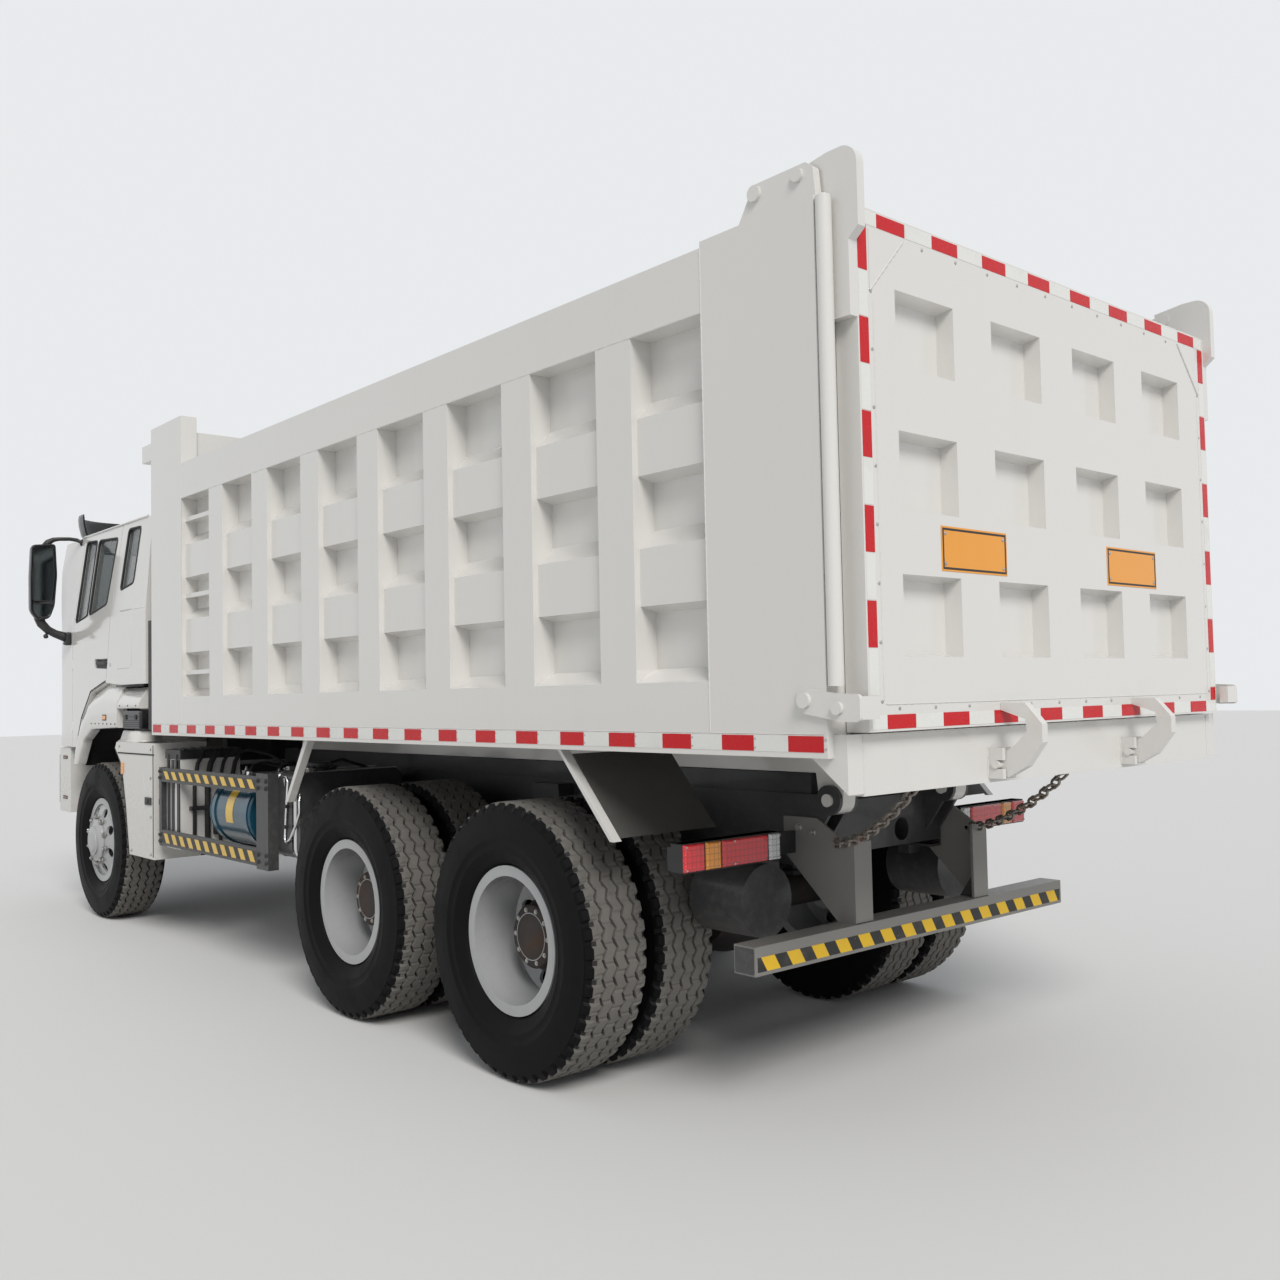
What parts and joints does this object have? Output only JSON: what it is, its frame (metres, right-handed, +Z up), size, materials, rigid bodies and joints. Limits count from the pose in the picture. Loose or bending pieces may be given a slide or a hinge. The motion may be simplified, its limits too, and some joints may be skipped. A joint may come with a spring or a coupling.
{
  "type": "dump truck",
  "caption": "Full-size three-axle dump truck: tilting steel load bed with front hoist, top-hung tailgate, forward-tilting cab with swinging doors, steered front and twin rear wheels.",
  "frame": {"origin": "centre of the bounding box on the ground under the truck", "axes": "+X forward, +Y to the truck's left, +Z up"},
  "size_m": [8.4, 2.98, 3.307],
  "materials": {
    "white_paint": "glossy off-white enamel",
    "chassis_paint": "satin charcoal enamel with road dust",
    "grey_steel": "satin grey enamel",
    "blue_paint": "satin blue enamel",
    "bright_steel": "polished",
    "wheel_silver": "silver enamel",
    "cast_parts": "rough",
    "tyre_rubber": "matt with dusty tread",
    "flap_rubber": "matt",
    "black_plastic": "fine grain",
    "window_glass": "clear",
    "lamp_plastic": "glossy",
    "lamp_clear": "clear and glossy",
    "seat_cloth": "woven"
  },
  "bodies": {
    "chassis": {"ladder_frame": "chassis_paint", "subframe": "chassis_paint", "rear_axles": "cast_parts", "front_axle": "cast_parts", "leaf_springs": "chassis_paint", "powertrain": "cast_parts", "fuel_tank": "chassis_paint", "side_tank": "blue_paint", "air_tanks": "chassis_paint", "side_guards": "chassis_paint", "underrun_bar": "grey_steel", "tail_lamps": "lamp_plastic", "mud_boxes": "white_paint", "bumper": "white_paint", "headlamps": "lamp_clear", "air_intake": "black_plastic"},
    "bed": {"bed_sides": "white_paint", "bed_floor": "white_paint", "headboard": "white_paint", "rear_sill": "white_paint", "gate_brackets": "white_paint", "corner_tubes": "white_paint", "corner_latches": "white_paint", "flap_struts": "white_paint", "mud_flaps": "flap_rubber"},
    "gate": {"tailgate": "white_paint", "gate_arms": "white_paint"},
    "hooks": {"gate_hooks": "white_paint"},
    "barrel": {"hoist_barrel": "grey_steel"},
    "stage_one": {"hoist_stage_1": "bright_steel"},
    "stage_two": {"hoist_stage_2": "bright_steel"},
    "rod": {"hoist_rod": "bright_steel"},
    "cab": {"cab_shell": "white_paint", "cab_glass": "window_glass", "cab_fenders": "white_paint", "sun_visor": "black_plastic", "grille": "black_plastic", "mirrors": "black_plastic", "seats": "seat_cloth", "dashboard": "black_plastic"},
    "left_door": {"door_left": "white_paint", "door_glass_left": "window_glass"},
    "right_door": {"door_right": "white_paint", "door_glass_right": "window_glass"},
    "tie_rod": {"tie_rod": "cast_parts"},
    "left_knuckle": {"knuckle_left": "cast_parts"},
    "right_knuckle": {"knuckle_right": "cast_parts"},
    "front_wheel_left": {"tyre_front_left": "tyre_rubber", "rim_front_left": "wheel_silver"},
    "middle_wheels_left": {"tyres_middle_left": "tyre_rubber", "rims_middle_left": "wheel_silver"},
    "rear_wheels_left": {"tyres_rear_left": "tyre_rubber", "rims_rear_left": "wheel_silver"},
    "front_wheel_right": {"tyre_front_right": "tyre_rubber", "rim_front_right": "wheel_silver"},
    "middle_wheels_right": {"tyres_middle_right": "tyre_rubber", "rims_middle_right": "wheel_silver"},
    "rear_wheels_right": {"tyres_rear_right": "tyre_rubber", "rims_rear_right": "wheel_silver"}
  },
  "joints": [
    {"name": "bed_tilt", "type": "hinge", "parent": "chassis", "child": "bed", "pos_m": [-3.26, 0, 1.11], "axis": [0, -1, 0], "range_deg": [0, 45]},
    {"name": "gate_swing", "type": "hinge", "parent": "bed", "child": "gate", "pos_m": [-3.893, 0, 3.114], "axis": [0, 1, 0], "range_deg": [0, 60]},
    {"name": "hook_release", "type": "hinge", "parent": "gate", "child": "hooks", "pos_m": [-4.04, 0, 1.275], "axis": [0, -1, 0], "range_deg": [0, 60]},
    {"name": "hoist_swing", "type": "hinge", "parent": "chassis", "child": "barrel", "pos_m": [1.75, 0, 1], "axis": [0, -1, 0], "range_deg": [0, 29.36]},
    {"name": "hoist_slide_one", "type": "slide", "parent": "barrel", "child": "stage_one", "axis": [0, 0, 1], "range_m": [0, 1.241]},
    {"name": "hoist_slide_two", "type": "slide", "parent": "stage_one", "child": "stage_two", "axis": [0, 0, 1], "range_m": [0, 1.241]},
    {"name": "hoist_slide_rod", "type": "slide", "parent": "stage_two", "child": "rod", "axis": [0, 0, 1], "range_m": [0, 1.241]},
    {"name": "cab_tilt", "type": "hinge", "parent": "chassis", "child": "cab", "pos_m": [4.03, 0, 1.18], "axis": [0, 1, 0], "range_deg": [0, 50]},
    {"name": "left_door_swing", "type": "hinge", "parent": "cab", "child": "left_door", "pos_m": [3.472, 1.195, 1.9], "axis": [0, 0, -1], "range_deg": [0, 70]},
    {"name": "right_door_swing", "type": "hinge", "parent": "cab", "child": "right_door", "pos_m": [3.472, -1.195, 1.9], "axis": [0, 0, 1], "range_deg": [0, 70]},
    {"name": "steer_left", "type": "hinge", "parent": "chassis", "child": "left_knuckle", "pos_m": [2.925, 0.86, 0.555], "axis": [0, 0, 1], "range_deg": [-35, 35]},
    {"name": "tie_rod_swing", "type": "hinge", "parent": "left_knuckle", "child": "tie_rod", "pos_m": [2.663, 0.86, 0.465], "axis": [0, 0, 1], "range_deg": [-35, 35]},
    {"name": "steer_right", "type": "hinge", "parent": "chassis", "child": "right_knuckle", "pos_m": [2.925, -0.86, 0.555], "axis": [0, 0, 1], "range_deg": [-35, 35]},
    {"name": "front_left_spin", "type": "hinge", "parent": "left_knuckle", "child": "front_wheel_left", "pos_m": [2.925, 1.04, 0.555], "axis": [0, 1, 0], "continuous": true},
    {"name": "middle_left_spin", "type": "hinge", "parent": "chassis", "child": "middle_wheels_left", "pos_m": [-0.9, 0.915, 0.555], "axis": [0, 1, 0], "continuous": true},
    {"name": "rear_left_spin", "type": "hinge", "parent": "chassis", "child": "rear_wheels_left", "pos_m": [-2.25, 0.915, 0.555], "axis": [0, 1, 0], "continuous": true},
    {"name": "front_right_spin", "type": "hinge", "parent": "right_knuckle", "child": "front_wheel_right", "pos_m": [2.925, -1.04, 0.555], "axis": [0, 1, 0], "continuous": true},
    {"name": "middle_right_spin", "type": "hinge", "parent": "chassis", "child": "middle_wheels_right", "pos_m": [-0.9, -0.915, 0.555], "axis": [0, 1, 0], "continuous": true},
    {"name": "rear_right_spin", "type": "hinge", "parent": "chassis", "child": "rear_wheels_right", "pos_m": [-2.25, -0.915, 0.555], "axis": [0, 1, 0], "continuous": true}
  ],
  "couplings": [
    {"joint": "hoist_swing", "follows": "bed_tilt", "ratio": 0.65244},
    {"joint": "hoist_slide_one", "follows": "bed_tilt", "m_per_rad": 1.58},
    {"joint": "hoist_slide_two", "follows": "bed_tilt", "m_per_rad": 1.58},
    {"joint": "hoist_slide_rod", "follows": "bed_tilt", "m_per_rad": 1.58},
    {"joint": "steer_right", "follows": "steer_left", "ratio": 1},
    {"joint": "tie_rod_swing", "follows": "steer_left", "ratio": -1}
  ]
}
